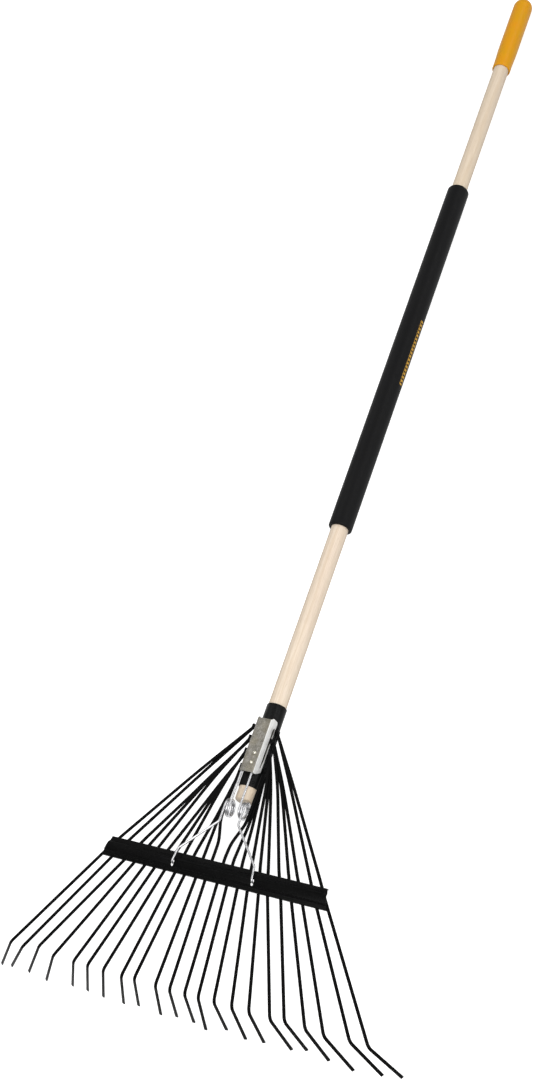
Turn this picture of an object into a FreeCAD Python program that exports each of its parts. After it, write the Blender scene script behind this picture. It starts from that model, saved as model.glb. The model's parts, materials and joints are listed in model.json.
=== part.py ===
import FreeCAD, Part
import os, math
from FreeCAD import Vector

# Leaf rake: a round wooden handle with a foam sleeve and an end cap, a steel socket
# at the lower end, a fan of 22 flat spring tines held in a yoke around the socket,
# a slotted spreader bar, and a wire brace with two torsion coils.
#
# Working frame (mm): +Y runs up the handle, +X across the fan, +Z is the brace side,
# away from the ground. The handle axis is x = z = 0. At the end everything is tilted
# about X so that the tine ends and the cap rest on z = 0, and is moved so that the
# origin is the bottom centre.

os.makedirs("parts", exist_ok=True)

# --- handle ---
WOOD_R = 12.0
WOOD_Y0, WOOD_Y1 = 15.0, 1431.0
WOOD_TOP_CHAMFER = 3.0
SLEEVE_R = 12.03                    # bore of the pieces that sit on the wood
GRIP_R, GRIP_Y0, GRIP_Y1 = 16.5, 416.0, 1026.6
GRIP_LOW_ROUND, GRIP_TOP_ROUND = 1.6, 3.4
CAP_R, CAP_RIM_R = 15.4, 14.5
CAP_Y0 = 1283.4                     # rim
CAP_TAPER_Y = 1330.0                # end of the taper
CAP_DOME_Y = 1425.2                 # centre of the dome

# --- socket and its nail ---
SOCKET_R, SOCKET_Y0, SOCKET_Y1 = 13.35, 33.0, 146.7
NAIL_Y = 39.0
NAIL_ANGLE = math.radians(53.0)     # from +X towards +Z
NAIL_DIR = Vector(math.cos(NAIL_ANGLE), 0, math.sin(NAIL_ANGLE))
NAIL_R, NAIL_LEN, NAIL_DEPTH = 1.1, 8.2, 7.6
NAIL_HEAD_R, NAIL_HEAD_H = 2.1, 1.1
NAIL_HOLE_R, NAIL_HOLE_LEN, NAIL_HOLE_DEPTH = 1.14, 9.0, 8.0

# --- bracket: flared channel riveted over the socket ---
BRACKET_Y0 = 47.0
BRACKET_HALF, BRACKET_T = 9.3, 1.0
BRACKET_TOP = 24.5
BRACKET_FLARE = 0.1475              # outward lean of the side walls
BRACKET_LIP_Z = 7.6                 # lower edge of the side walls
BRACKET_SEAT_R = SOCKET_R + 0.05
# side outline, (y, z)
BRACKET_SIDE = [
    (BRACKET_Y0, 26.0), (BRACKET_Y0, 20.0), (49.5, 14.6), (54.0, BRACKET_LIP_Z),
    (121.0, BRACKET_LIP_Z), (123.0, 9.5), (123.0, 19.0), (119.6, 23.6), (119.6, 26.0)]
# opening in both side walls, (y, z)
BRACKET_WINDOW = [
    (57.0, 13.4), (108.0, 13.4), (111.5, 12.4), (114.8, 9.8), (69.0, 9.8), (60.0, 11.6)]
RIVETS = [(2.5, 72.5), (2.5, 59.5)]     # (x, y)
RIVET_R, RIVET_HEAD_R, RIVET_HEAD_H = 1.6, 2.9, 2.2
RIVET_LEN, RIVET_DEPTH = 18.0, 17.0
RIVET_GAP = 0.03

# --- brace wire ---
WIRE_R = 1.4
COIL_R = 10.3                       # centreline radius of the coil
COIL_PITCH = 3.0
COIL_TURNS = 1.72                   # the upper wire stops here, short of the leg
COIL_STEPS = 42
COIL_Y = 0.5
UPPER_X, UPPER_Z = 6.85, 21.6       # upper legs, under the bracket plate
BIGHT_Y = 114.0
BIGHT_BEND_R = 5.0
COIL_Z = UPPER_Z - COIL_R
LOWER_X = UPPER_X + 2.0 * COIL_PITCH
KINK_Y = -21.0
SHOULDER_X, SHOULDER_Y = 51.5, -66.0
HOOK_X, HOOK_Y = 54.05, -84.4
HOOK_TOP, HOOK_END = 9.2, 2.4       # heights above the tine plane
LEG_BEND_RADII = [7.0, 6.0, 3.2]    # kink, shoulder, hook

# --- tines: flat wire ---
TINE_COUNT = 22
TINE_W, TINE_T = 4.0, 1.6
ROOT_X, ROOT_LEN = 16.7, 2.5
# Root groups down the socket: (root y, root heights, y the group stays stacked
# down to, heights there)
TIERS = [
    (109.2, [12.4, 10.65], 30.0, [14.0, 12.25]),
    (94.1, [7.6, 9.35, 11.1], 5.0, [9.9, 11.6, 13.3]),
    (76.7, [6.15, 7.9, 9.65], 5.0, [10.0, 11.7, 13.4]),
    (56.9, [3.25, 5.0, 6.75], -14.0, [7.5, 9.2, 10.9])]
BAR_Y, BAR_Z = -82.9, 14.5          # where the tines cross the bar
BAR_IN_Y, BAR_IN_Z = -62.0, 14.3    # a station just above the bar
PLANE_SLOPE = 0.08
BEND_R, BEND_STEPS = 9.0, 9
MIN_STEP = 0.8                      # least y distance between stations
TIP_Y = -247.4
TIP_DROP = 50.7                     # middle tine ends, below the handle axis
# distance from the middle, outermost tine first
UPPER_FAN_Y = 20.0
UPPER_FAN_X = [78.4, 71.5, 59.25, 55.5, 49.25, 38.05, 34.0, 30.05, 20.85]
LOWER_FAN_X = [133.15, 119.95, 103.25, 91.95, 79.45, 65.65, 54.85, 44.05,
               31.5, 19.6, 7.5]     # at BAR_IN_Y
# one row per tine from -X to +X: (x at the bar, tip bend x, tip bend y, end x, end y)
TINE_ENDS = [
    (-146.6, -234.0, -224.0, -266.5, -244.8), (-132.2, -216.1, -226.0, -252.0, -243.8),
    (-114.2, -194.3, -220.0, -225.6, -244.5), (-101.0, -171.2, -226.3, -197.9, -248.0),
    (-87.2, -142.2, -226.0, -160.4, -245.4), (-73.9, -122.4, -225.6, -138.2, -246.0),
    (-60.5, -100.2, -225.8, -114.8, -247.7), (-47.2, -74.7, -227.0, -85.7, -248.3),
    (-34.4, -57.4, -225.5, -65.6, -245.8), (-20.0, -28.4, -226.3, -33.8, -248.4),
    (-7.8, -9.2, -226.8, -12.9, -245.5), (8.4, 10.8, -226.6, 10.6, -246.2),
    (20.8, 28.7, -226.1, 28.2, -250.2), (34.3, 49.2, -226.1, 53.5, -243.7),
    (46.8, 72.3, -226.3, 79.9, -247.6), (60.9, 94.4, -226.2, 103.0, -245.4),
    (71.6, 121.5, -227.2, 138.0, -244.2), (88.8, 139.0, -225.0, 156.0, -240.1),
    (101.6, 165.2, -226.7, 184.8, -243.9), (115.2, 188.6, -228.4, 215.8, -246.7),
    (132.2, 219.4, -226.3, 249.9, -242.9), (146.4, 241.7, -226.5, 272.5, -238.9)]

# --- spreader bar, heights measured from the tine centre plane ---
BAR_TOP_Y = -69.3
BAR_WIDTH = 25.0
BAR_T = 1.2
BAR_FLANGE_H = 1.15                 # underside of the flat flanges
BAR_CREST_H = 5.9                   # top of the rib
BAR_LIP_H = -2.6                    # lower edge of the slotted lips
BAR_HALF_TOP, BAR_HALF_LOW = 145.8, 151.6
BAR_SLOT_GAP = 0.3                  # added to the tine's width and thickness
HOOK_SLOT_R, HOOK_SLOT_HALF = 1.65, 2.3

# --- yoke around the socket, holding the tine roots ---
STRAP_Y0, STRAP_Y1 = 92.2, 98.4
STRAP_SIDE_Z = 12.8                 # top of the strap at its sides
STRAP = [                           # outline, (x, z)
    (-15.8, 12.1), (-15.8, STRAP_SIDE_Z), (-9.0, STRAP_SIDE_Z), (-5.6, 14.7), (5.6, 14.7),
    (9.0, STRAP_SIDE_Z), (15.8, STRAP_SIDE_Z), (15.8, 12.1), (8.7, 12.1), (5.3, 14.0),
    (-5.3, 14.0), (-8.7, 12.1)]
RAIL_X0, RAIL_X1, RAIL_Z0, RAIL_Z1 = 14.0, 16.0, 0.2, 2.2
RAIL_Y0, RAIL_Y1 = 54.0, 113.8
COLLAR_X0, COLLAR_X1 = 15.0, 18.2
COLLAR_DOWN, COLLAR_UP = 1.0, 4.6   # from the root y; closes behind the root ends
COLLAR_MARGIN = 1.7                 # above and below the root centres
ROOT_GAP = 0.08                     # added to the tine's width and thickness
ROOT_END_GAP = 0.12


# --- basic shapes ---
def cylinder_y(radius, y0, y1):
    return Part.makeCylinder(radius, y1 - y0, Vector(0, y0, 0), Vector(0, 1, 0))


def box(x0, x1, y0, y1, z0, z1):
    return Part.makeBox(x1 - x0, y1 - y0, z1 - z0, Vector(x0, y0, z0))


def polygon_face(points):
    return Part.Face(Part.makePolygon(points + [points[0]]))


def revolve_y(points):
    """Solid of revolution about Y from (r, y) points."""
    face = polygon_face([Vector(r, y, 0) for r, y in points])
    return face.revolve(Vector(0, 0, 0), Vector(0, 1, 0), 360)


def prism_xz(points, y0, y1):
    """Extrude an (x, z) polygon along Y."""
    return polygon_face([Vector(x, y0, z) for x, z in points]).extrude(Vector(0, y1 - y0, 0))


def prism_yz(points, x0, x1):
    """Extrude a (y, z) polygon along X."""
    return polygon_face([Vector(x0, y, z) for y, z in points]).extrude(Vector(x1 - x0, 0, 0))


def arc_points(centre_r, centre_y, radius, start, end, steps):
    """(r, y) points of an arc, angles in degrees."""
    angles = [math.radians(start + (end - start) * i / steps) for i in range(steps + 1)]
    return [(centre_r + radius * math.cos(a), centre_y + radius * math.sin(a))
            for a in angles]


def dome(base, direction, radius, height):
    """Flat-bottomed dome standing on base."""
    sphere_r = (radius * radius + height * height) / (2 * height)
    sphere = Part.makeSphere(sphere_r, base - direction * (sphere_r - height))
    return sphere.common(Part.makeCylinder(radius + 1, height + 1, base, direction))


def solid_from_sections(sections):
    """Closed solid through a row of sections; a twisted side becomes two triangles."""
    faces = []

    def add_quad(a, b, c, d):
        normal = (b - a).cross(c - a)
        flat = False
        if normal.Length > 1e-9:
            normal.normalize()
            flat = abs((d - a).dot(normal)) < 1e-7
        if flat:
            faces.append(polygon_face([a, b, c, d]))
        else:
            faces.append(polygon_face([a, b, c]))
            faces.append(polygon_face([a, c, d]))

    sides = len(sections[0])
    if sides == 4:
        add_quad(*sections[0])
        add_quad(*reversed(sections[-1]))
    else:
        faces.append(polygon_face(sections[0]))
        faces.append(polygon_face(sections[-1]))
    for near, far in zip(sections, sections[1:]):
        for j in range(sides):
            k = (j + 1) % sides
            add_quad(near[j], far[j], far[k], near[k])
    shell = Part.Shell(faces)
    shell.sewShape()
    solid = Part.Solid(Part.Shell(shell.Faces))
    if solid.Volume < 0:
        solid.reverse()
    return solid


# --- tine path ---
def plane_z(y):
    """Height of the tine centre plane."""
    return BAR_Z + PLANE_SLOPE * (y - BAR_Y)


def rounded(knots, y):
    """Value at y of a line through (y, value, half width of the rounding) knots."""
    i = 0
    while i < len(knots) - 2 and y < knots[i + 1][0]:
        i += 1
    (ya, va, _), (yb, vb, _) = knots[i:i + 2]
    value = va + (vb - va) * (ya - y) / (ya - yb)
    for j in range(1, len(knots) - 1):
        (y0, v0, _), (y1, v1, width), (y2, v2, _) = knots[j - 1:j + 2]
        distance = abs(y1 - y)
        if distance < width:
            slope_in = (v1 - v0) / (y0 - y1)
            slope_out = (v2 - v1) / (y1 - y2)
            value += (slope_out - slope_in) * (width - distance) ** 2 / (4 * width)
    return value


def tine_place(index):
    """Side, count from the outside, root tier and place in that tier."""
    side, count = (-1, index) if index < 11 else (1, 21 - index)
    if count < 2:
        return side, count, 0, count
    return side, count, 1 + (count - 2) // 3, (count - 2) % 3


def turned(vector, axis, angle):
    return (vector * math.cos(angle) + axis.cross(vector) * math.sin(angle)
            + axis * (axis.dot(vector) * (1 - math.cos(angle))))


def tine_knots(index):
    """Knots of the distance from the middle and of the height, root to tip bend."""
    _, count, tier, place = tine_place(index)
    tier_y, root_z, hold_y, hold_z = TIERS[tier]
    bar_x, bend_x, bend_y = TINE_ENDS[index][:3]
    root_y = tier_y + ROOT_LEN
    if count == 10:
        x_knots = [(root_y, ROOT_X, 0), (-14.0, 17.3, 8), (-43.0, 8.3, 7)]
    else:
        if count == 9:
            mid_y, mid_x, width = -12.0, 20.9, 9
        else:
            mid_y, width = (25.0, 12) if tier == 3 else (40.0, 20)
            upper_x = UPPER_FAN_X[count]
            slope = (LOWER_FAN_X[count] - upper_x) / (UPPER_FAN_Y - BAR_IN_Y)
            mid_x = upper_x - slope * (mid_y - UPPER_FAN_Y)
        root_x = ROOT_X - ROOT_LEN * (mid_x - ROOT_X) / (tier_y - mid_y)
        x_knots = [(root_y, root_x, 0), (mid_y, mid_x, width)]
    x_knots += [(BAR_IN_Y, LOWER_FAN_X[count], 5), (BAR_Y, abs(bar_x), 5),
                (bend_y, abs(bend_x), 0)]
    z_knots = [(root_y, root_z[place], 0), (hold_y, hold_z[place], 8),
               (BAR_IN_Y, BAR_IN_Z, 6), (BAR_Y, BAR_Z, 5), (bend_y, plane_z(bend_y), 0)]
    return x_knots, z_knots


def tine_stations(index, tilt):
    """Stations (point, tangent, normal) from the root to the end."""
    side = tine_place(index)[0]
    bar_x, bend_x, bend_y, end_x, end_y = TINE_ENDS[index]
    x_knots, z_knots = tine_knots(index)

    bend = Vector(bend_x, bend_y, plane_z(bend_y))
    run_dir = (bend - Vector(bar_x, BAR_Y, BAR_Z)).normalize()
    end = Vector(end_x, end_y, -TIP_DROP + math.tan(-tilt) * (end_y - TIP_Y))
    tip_dir = (end - bend).normalize()
    bend_angle = math.acos(run_dir.dot(tip_dir))
    bend_start = bend - run_dir * (BEND_R * math.tan(bend_angle / 2))

    # half-width steps through each rounding, thinned to the least distance
    candidates = sorted([y + width * q / 2.0 for y, _, width in x_knots[1:-1] + z_knots[1:-1]
                         for q in range(-2, 3)], reverse=True)
    kept = [x_knots[0][0]]
    for y in candidates:
        if kept[-1] - y > MIN_STEP and y - bend_start.y > MIN_STEP:
            kept.append(y)
    points = [Vector(side * rounded(x_knots, y), y, rounded(z_knots, y)) for y in kept]
    points.append(bend_start)

    stations = []
    for q, point in enumerate(points):
        if q == 0:
            tangent = points[1] - point
        elif q == len(points) - 1:
            tangent = Vector(run_dir)
        else:
            tangent = (points[q + 1] - point).normalize() + (point - points[q - 1]).normalize()
        tangent.normalize()
        normal = Vector(0, 0, 1) - tangent * tangent.z
        normal.normalize()
        stations.append((point, tangent, normal))

    run_normal = stations[-1][2]
    inward = (tip_dir - run_dir * run_dir.dot(tip_dir)).normalize()
    axis = run_dir.cross(tip_dir).normalize()
    for q in range(1, BEND_STEPS + 1):
        a = bend_angle * q / BEND_STEPS
        point = bend_start + (run_dir * math.sin(a) + inward * (1 - math.cos(a))) * BEND_R
        tangent = run_dir * math.cos(a) + inward * math.sin(a)
        stations.append((point, tangent, turned(run_normal, axis, a)))
    stations.append((end, tip_dir, stations[-1][2]))
    return stations


def tine_section(station, width, thickness):
    """Corners of the flat wire's rectangle at a station."""
    point, tangent, normal = station
    across = tangent.cross(normal)
    across.normalize()
    up = across.cross(tangent)
    up.normalize()
    half_w, half_t = across * (width / 2), up * (thickness / 2)
    return [point + half_w + half_t, point - half_w + half_t,
            point - half_w - half_t, point + half_w - half_t]


def tilt_for(corner_drop):
    return -math.atan2(TIP_DROP + corner_drop - CAP_R, CAP_DOME_Y - TIP_Y)


def resting_tilt():
    """Tilt at which the lowest tine corner and the cap both touch the ground."""
    corner_drop = 1.28              # first guess, corrected below
    tilt = tilt_for(corner_drop)
    for _ in range(6):
        ends = [tine_section(tine_stations(i, tilt)[-1], TINE_W, TINE_T)
                for i in range(TINE_COUNT)]
        lowest = min(c.y * math.sin(tilt) + c.z * math.cos(tilt)
                     for corners in ends for c in corners)
        corner_drop += (CAP_DOME_Y * math.sin(tilt) - CAP_R) - lowest
        tilt = tilt_for(corner_drop)
    return tilt


TILT = resting_tilt()


def make_tine(index):
    return solid_from_sections([tine_section(station, TINE_W, TINE_T)
                                for station in tine_stations(index, TILT)])


def tine_cutter(index, y0, y1, gap):
    """Oversize piece of a tine between two y values."""
    stations = tine_stations(index, TILT)
    above = [q for q, station in enumerate(stations) if station[0].y >= y1]
    below = [q for q, station in enumerate(stations) if station[0].y <= y0]
    piece = stations[(above[-1] if above else 0):below[0] + 1]
    if not above:
        # the root lies inside the range: leave a gap behind its end
        point, tangent, normal = piece[0]
        piece[0] = (point - tangent * ROOT_END_GAP, tangent, normal)
    solid = solid_from_sections([tine_section(station, TINE_W + gap, TINE_T + gap)
                                 for station in piece])
    return solid.common(box(-400, 400, y0, y1, -60, 60))


# --- handle and socket ---
def rivet_holes():
    return [Part.makeCylinder(RIVET_R + RIVET_GAP, RIVET_LEN,
                              Vector(x, y, BRACKET_TOP - RIVET_DEPTH - 0.1), Vector(0, 0, 1))
            for x, y in RIVETS]


def nail_point(radius):
    return Vector(0, NAIL_Y, 0) + NAIL_DIR * radius


def drill(shape, with_nail=True):
    """Cut the rivet holes and then the nail hole."""
    holes = rivet_holes()
    if with_nail:
        holes.append(Part.makeCylinder(NAIL_HOLE_R, NAIL_HOLE_LEN,
                                       nail_point(SOCKET_R - NAIL_HOLE_DEPTH), NAIL_DIR))
    for hole in holes:
        shape = shape.cut(hole)
    return shape


def make_shaft():
    return drill(revolve_y([
        (0, WOOD_Y0), (WOOD_R - 1.4, WOOD_Y0), (WOOD_R, WOOD_Y0 + 1.6),
        (WOOD_R, WOOD_Y1 - WOOD_TOP_CHAMFER), (WOOD_R - WOOD_TOP_CHAMFER, WOOD_Y1),
        (0, WOOD_Y1)]))


def make_grip():
    low, top = GRIP_LOW_ROUND, GRIP_TOP_ROUND
    return revolve_y([(SLEEVE_R, GRIP_Y0), (GRIP_R - low, GRIP_Y0)]
                     + arc_points(GRIP_R - low, GRIP_Y0 + low, low, -90, 0, 5)[1:]
                     + arc_points(GRIP_R - top, GRIP_Y1 - top, top, 0, 90, 6)
                     + [(SLEEVE_R, GRIP_Y1)])


def make_cap():
    bore = [(0, WOOD_Y1 + 0.3), (WOOD_R - 2.9, WOOD_Y1 + 0.3), (SLEEVE_R, WOOD_Y1 - 2.6),
            (SLEEVE_R, CAP_Y0)]
    rim = [(CAP_RIM_R - 0.8, CAP_Y0), (CAP_RIM_R, CAP_Y0 + 0.8), (CAP_R, CAP_TAPER_Y)]
    top = arc_points(0, CAP_DOME_Y, CAP_R, 0, 90, 14)[:-1] + [(0, CAP_DOME_Y + CAP_R)]
    return revolve_y(bore + rim + top)


def make_socket():
    return drill(revolve_y([
        (SLEEVE_R, SOCKET_Y0), (SOCKET_R - 0.5, SOCKET_Y0), (SOCKET_R, SOCKET_Y0 + 0.5),
        (SOCKET_R, SOCKET_Y1 - 0.9), (SOCKET_R - 0.35, SOCKET_Y1 - 0.25),
        (SOCKET_R - 0.8, SOCKET_Y1), (SLEEVE_R, SOCKET_Y1)]))


def make_nail():
    """Dome-head nail through the socket wall into the wood."""
    shank = Part.makeCylinder(NAIL_R, NAIL_LEN, nail_point(SOCKET_R - NAIL_DEPTH), NAIL_DIR)
    return shank.fuse(dome(nail_point(SOCKET_R + 0.05), NAIL_DIR, NAIL_HEAD_R, NAIL_HEAD_H))


# --- bracket ---
def make_bracket():
    def wall_x(z):
        return BRACKET_HALF + (BRACKET_TOP - z) * BRACKET_FLARE

    end_y = max(y for y, _ in BRACKET_SIDE)
    top, edge_z, lip_z = BRACKET_TOP, BRACKET_TOP - 1.2, BRACKET_LIP_Z
    channel = prism_xz([
        (-wall_x(edge_z), edge_z), (-BRACKET_HALF + 0.3, top - 0.35),
        (-BRACKET_HALF + 1.1, top), (BRACKET_HALF - 1.1, top),
        (BRACKET_HALF - 0.3, top - 0.35), (wall_x(edge_z), edge_z),
        (wall_x(lip_z), lip_z), (-wall_x(lip_z), lip_z)], BRACKET_Y0, end_y)

    wall_t = BRACKET_T * math.hypot(1.0, BRACKET_FLARE)     # measured along X
    inner_z, open_z = top - BRACKET_T, 5.0
    inner_x, open_x = wall_x(inner_z) - wall_t, wall_x(open_z) - wall_t
    channel = channel.cut(prism_xz([
        (-inner_x, inner_z), (inner_x, inner_z), (open_x, open_z), (-open_x, open_z)],
        BRACKET_Y0 - 1, end_y + 1))
    channel = channel.common(prism_yz(BRACKET_SIDE, -20, 20))
    channel = channel.cut(prism_yz(BRACKET_WINDOW, -20, 20))
    channel = channel.cut(cylinder_y(BRACKET_SEAT_R, BRACKET_Y0 - 1, end_y + 1))
    return drill(channel, with_nail=False)


def make_rivets():
    up = Vector(0, 0, 1)
    rivets = []
    for x, y in RIVETS:
        shank = Part.makeCylinder(RIVET_R, RIVET_LEN,
                                  Vector(x, y, BRACKET_TOP - RIVET_DEPTH), up)
        head = dome(Vector(x, y, BRACKET_TOP + 0.02), up, RIVET_HEAD_R, RIVET_HEAD_H)
        rivets.append(shank.fuse(head))
    return Part.makeCompound(rivets)


# --- brace ---
def bend_at(a, b, c, radius):
    """Start, finish, centre and turn angle of a circular bend at b."""
    to_a = (a - b).normalize()
    to_c = (c - b).normalize()
    angle = math.acos(max(-1, min(1, to_a.dot(to_c))))
    distance = radius / math.tan(angle / 2)
    centre = b + (to_a + to_c).normalize() * (radius / math.sin(angle / 2))
    return b + to_a * distance, b + to_c * distance, centre, math.pi - angle


def corner_points(a, b, c, radius, steps):
    start, finish, centre, turn = bend_at(a, b, c, radius)
    first = (start - centre).normalize()
    second = finish - centre
    second = (second - first * second.dot(first)).normalize()
    angles = [turn * i / steps for i in range(steps + 1)]
    return [centre + first * (radius * math.cos(t)) + second * (radius * math.sin(t))
            for t in angles]


def faceted_rod(points, radius, sides=12):
    """Many-sided rod along the points, without twist."""
    sections = []
    ref = None
    for i, point in enumerate(points):
        if i == 0:
            tangent = points[1] - point
        elif i == len(points) - 1:
            tangent = point - points[i - 1]
        else:
            tangent = (points[i + 1] - point).normalize() + (point - points[i - 1]).normalize()
        tangent.normalize()
        if ref is None:
            ref = Vector(1, 0, 0) if abs(tangent.x) < 0.8 else Vector(0, 0, 1)
        ref = ref - tangent * ref.dot(tangent)
        ref.normalize()
        other = tangent.cross(ref)
        angles = [2 * math.pi * j / sides for j in range(sides)]
        sections.append([point + ref * (radius * math.cos(t)) + other * (radius * math.sin(t))
                         for t in angles])
    return solid_from_sections(sections)


def wire_disc(centre, direction):
    return Part.Face(Part.Wire([Part.makeCircle(WIRE_R, centre, direction)]))


def bent_rod(points, bend_radii):
    """Pieces of round wire: straight runs joined by circular bends."""
    pieces = []
    last = points[0]
    for a, b, c, bend_r in zip(points, points[1:], points[2:], bend_radii):
        start, finish, centre, turn = bend_at(a, b, c, bend_r)
        pieces.append(Part.makeCylinder(WIRE_R, (start - last).Length, last, start - last))
        axis = (start - centre).cross(finish - centre).normalize()
        disc = wire_disc(start, (b - a).normalize())
        pieces.append(disc.revolve(centre, axis, math.degrees(turn)))
        last = finish
    end = points[-1]
    pieces.append(Part.makeCylinder(WIRE_R, (end - last).Length, last, end - last))
    return pieces


def coil_point(side, turns):
    """Point on a coil, turns counted from its top."""
    a = 2 * math.pi * turns
    return Vector(side * (UPPER_X + COIL_PITCH * turns), COIL_Y - COIL_R * math.sin(a),
                  COIL_Z + COIL_R * math.cos(a))


def make_brace_wire():
    """Bight under the bracket, two upper legs and two coils."""
    corners = [Vector(-UPPER_X, COIL_Y, UPPER_Z), Vector(-UPPER_X, BIGHT_Y, UPPER_Z),
               Vector(UPPER_X, BIGHT_Y, UPPER_Z), Vector(UPPER_X, COIL_Y, UPPER_Z)]
    steps = range(COIL_STEPS + 1)
    path = [coil_point(-1, COIL_TURNS * (1 - i / COIL_STEPS)) for i in steps]
    path += corner_points(*corners[:3], BIGHT_BEND_R, 8)
    path += corner_points(*corners[1:], BIGHT_BEND_R, 8)
    path += [coil_point(1, COIL_TURNS * i / COIL_STEPS) for i in steps]
    return faceted_rod(path, WIRE_R)


def make_brace_leg(side):
    """End of the coil, kink, diagonal run, shoulder and hook."""
    top = Vector(side * LOWER_X, COIL_Y, UPPER_Z)
    coil_centre = Vector(side * LOWER_X, COIL_Y, COIL_Z)
    leg = wire_disc(top, Vector(0, -1, 0)).revolve(coil_centre, Vector(-1, 0, 0), 20.0)
    hook_z = plane_z(HOOK_Y)
    run = bent_rod([
        top,
        Vector(side * LOWER_X, KINK_Y, UPPER_Z),
        Vector(side * SHOULDER_X, SHOULDER_Y, hook_z + HOOK_TOP),
        Vector(side * HOOK_X, HOOK_Y, hook_z + HOOK_TOP),
        Vector(side * HOOK_X, HOOK_Y, hook_z + HOOK_END)], LEG_BEND_RADII)
    for piece in run:
        leg = leg.fuse(piece)
    return leg.removeSplitter()


# --- spreader bar ---
def bar_profile():
    """Outline as (q, h): q from the upper to the lower edge, h above the tine plane."""
    width, lip = BAR_WIDTH, BAR_LIP_H
    flange_low, flange_top = BAR_FLANGE_H, BAR_FLANGE_H + BAR_T
    crest_low, crest_top = BAR_CREST_H - BAR_T, BAR_CREST_H
    outer = [
        (0.0, lip), (0.0, flange_top - 0.9), (0.25, flange_top - 0.3), (0.9, flange_top),
        (4.6, flange_top), (5.4, flange_top + 0.25), (7.6, crest_top - 0.9),
        (8.6, crest_top - 0.2), (9.8, crest_top), (16.4, crest_top), (17.6, crest_top - 0.2),
        (18.6, crest_top - 0.9), (20.4, flange_top + 0.25), (21.2, flange_top),
        (width - 0.9, flange_top), (width - 0.25, flange_top - 0.3),
        (width, flange_top - 0.9), (width, lip)]
    inner = [
        (width - BAR_T, lip), (width - BAR_T, flange_low), (20.7, flange_low),
        (19.6, flange_low + 0.3), (17.7, crest_low - 0.7), (16.9, crest_low - 0.1),
        (16.2, crest_low), (10.0, crest_low), (9.3, crest_low - 0.1), (8.5, crest_low - 0.7),
        (6.3, flange_low + 0.3), (5.2, flange_low), (BAR_T, flange_low), (BAR_T, lip)]
    return outer + inner


def hook_slot(side):
    """Round-ended slot in the rib for the hook of the brace."""
    x, z = side * HOOK_X, plane_z(HOOK_Y) + 2
    slot = box(x - HOOK_SLOT_R, x + HOOK_SLOT_R, HOOK_Y - HOOK_SLOT_HALF,
               HOOK_Y + HOOK_SLOT_HALF, z, 40)
    for end in (-1, 1):
        slot = slot.fuse(Part.makeCylinder(
            HOOK_SLOT_R, 30, Vector(x, HOOK_Y + end * HOOK_SLOT_HALF, z), Vector(0, 0, 1)))
    return slot


def make_spreader_bar():
    slope = math.atan(PLANE_SLOPE)
    cos_s, sin_s = math.cos(slope), math.sin(slope)
    top_z = plane_z(BAR_TOP_Y)
    bar = prism_yz([(BAR_TOP_Y - q * cos_s - h * sin_s, top_z - q * sin_s + h * cos_s)
                    for q, h in bar_profile()], -160, 160)

    # trim the ends to their slant
    low_y = BAR_TOP_Y - BAR_WIDTH
    over = 6
    extra = (BAR_HALF_LOW - BAR_HALF_TOP) / BAR_WIDTH * over
    half_top, half_low = BAR_HALF_TOP - extra, BAR_HALF_LOW + extra
    bar = bar.common(polygon_face([
        Vector(-half_top, BAR_TOP_Y + over, -20), Vector(half_top, BAR_TOP_Y + over, -20),
        Vector(half_low, low_y - over, -20),
        Vector(-half_low, low_y - over, -20)]).extrude(Vector(0, 0, 60)))
    for i in range(TINE_COUNT):
        bar = bar.cut(tine_cutter(i, low_y - 3, BAR_TOP_Y + 3, BAR_SLOT_GAP))
    for side in (-1, 1):
        bar = bar.cut(hook_slot(side))
    return bar


# --- yoke ---
def make_yoke():
    yoke = prism_xz(STRAP, STRAP_Y0, STRAP_Y1)
    for side in (-1, 1):
        rail = sorted((side * RAIL_X0, side * RAIL_X1))
        collar = sorted((side * COLLAR_X0, side * COLLAR_X1))
        yoke = yoke.fuse(box(*rail, RAIL_Y0, RAIL_Y1, RAIL_Z0, RAIL_Z1))
        for tier, (tier_y, root_z, _, _) in enumerate(TIERS):
            low, high = min(root_z), max(root_z)
            y0, y1 = tier_y - COLLAR_DOWN, tier_y + COLLAR_UP
            # the collars of the second tier end flush with the strap
            top = STRAP_SIDE_Z if tier == 1 else high + COLLAR_MARGIN
            yoke = yoke.fuse(box(*rail, y0, y1, RAIL_Z0, low - TINE_T / 2))
            yoke = yoke.fuse(box(*collar, y0, y1, low - COLLAR_MARGIN, top))
    yoke = yoke.removeSplitter()
    for i in range(TINE_COUNT):
        tier_y = TIERS[tine_place(i)[2]][0]
        yoke = yoke.cut(tine_cutter(i, tier_y - 3, tier_y + 8.0, ROOT_GAP))
    return yoke


def set_on_ground(shapes):
    """Tilt onto the ground and move the origin to the bottom centre."""
    for shape in shapes.values():
        shape.rotate(Vector(0, 0, 0), Vector(1, 0, 0), math.degrees(TILT))
    bounds = {name: shape.optimalBoundingBox(False, False) for name, shape in shapes.items()}
    tine_low = min(b.ZMin for name, b in bounds.items() if name.startswith("tine_"))
    cap_low = CAP_DOME_Y * math.sin(TILT) - CAP_R
    boxes = bounds.values()
    shift = Vector(-(min(b.XMin for b in boxes) + max(b.XMax for b in boxes)) / 2,
                   -(min(b.YMin for b in boxes) + max(b.YMax for b in boxes)) / 2,
                   -min(tine_low, cap_low))
    for shape in shapes.values():
        shape.translate(shift)


parts = {
    "handle_shaft": make_shaft(),
    "foam_grip": make_grip(),
    "end_cap": make_cap(),
    "socket": make_socket(),
    "socket_nail": make_nail(),
    "brace_bracket": make_bracket(),
    "bracket_rivets": make_rivets(),
    "brace_wire": make_brace_wire(),
    "brace_leg_left": make_brace_leg(-1),
    "brace_leg_right": make_brace_leg(1),
    "spreader_bar": make_spreader_bar(),
    "tine_yoke": make_yoke(),
}
for i in range(TINE_COUNT):
    parts["tine_%02d" % (i + 1)] = make_tine(i)

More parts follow.
